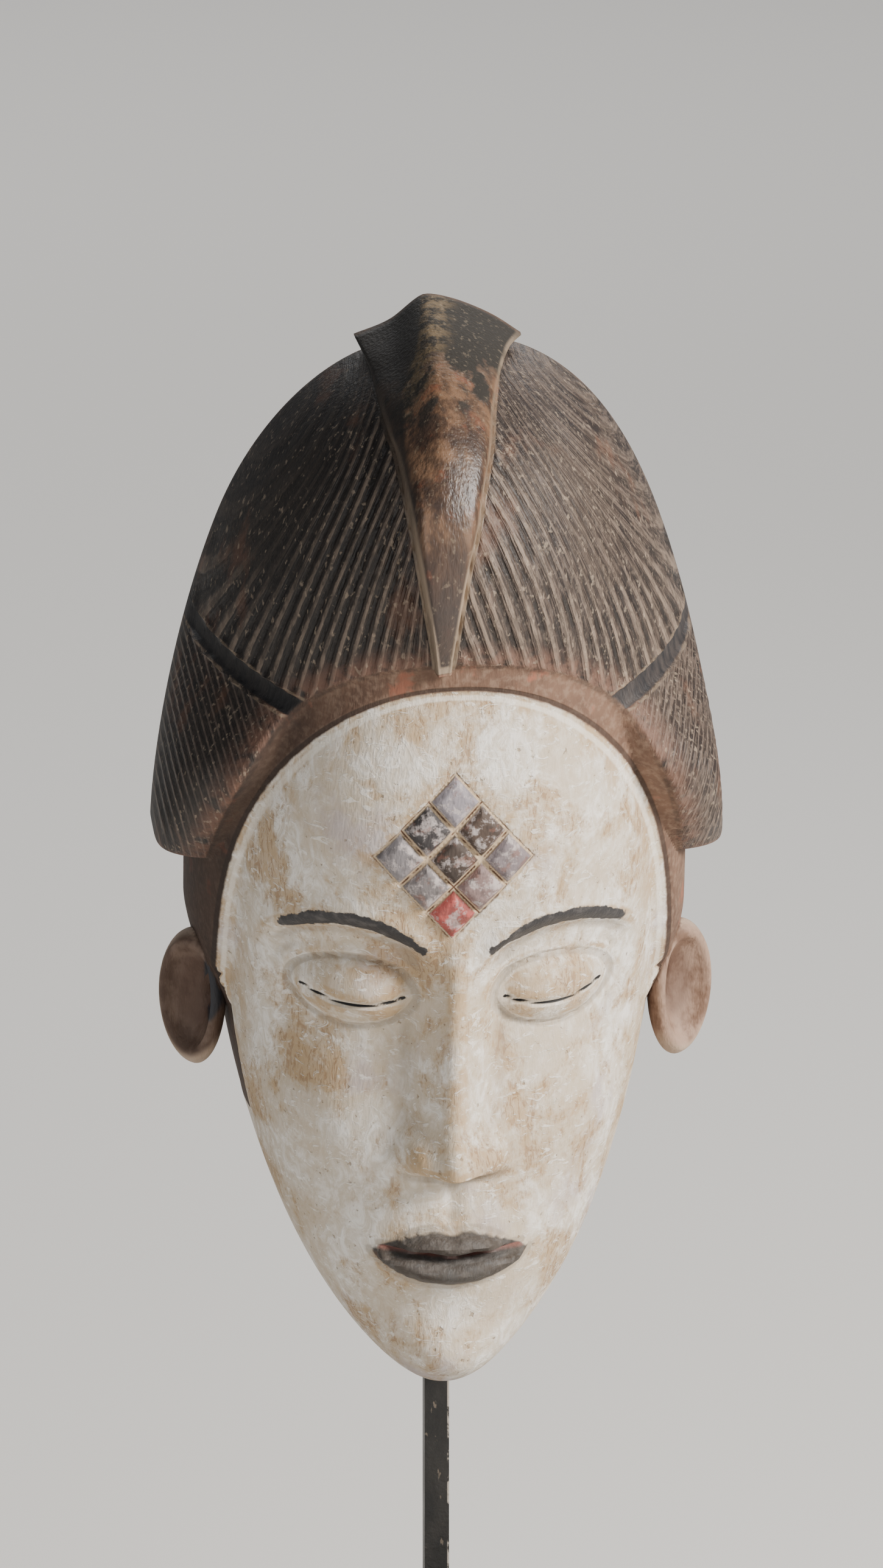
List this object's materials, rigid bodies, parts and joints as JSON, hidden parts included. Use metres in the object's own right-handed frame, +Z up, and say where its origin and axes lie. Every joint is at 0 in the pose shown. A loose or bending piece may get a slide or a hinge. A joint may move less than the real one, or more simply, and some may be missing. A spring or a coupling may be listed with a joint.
{
  "type": "carved face mask on a rod stand",
  "caption": "Carved and painted wooden face mask with a high combed coiffure and a forehead diamond, leaning forward on a steel rod with a plate foot.",
  "frame": {"origin": "centre of the foot's underside", "axes": "+Z up along the rod, the mask faces -Y, +X to the right of someone who faces the mask"},
  "size_m": [0.161, 0.15, 0.4302],
  "materials": {
    "painted_wood": "white kaolin face, brown band and dark hair on carved wood, worn",
    "rod_steel": "black paint, chipped along the edges",
    "foot_steel": "satin black paint"
  },
  "bodies": {
    "root": {"mask": "painted_wood", "stand_rod": "rod_steel", "stand_foot": "foot_steel"}
  },
  "joints": []
}
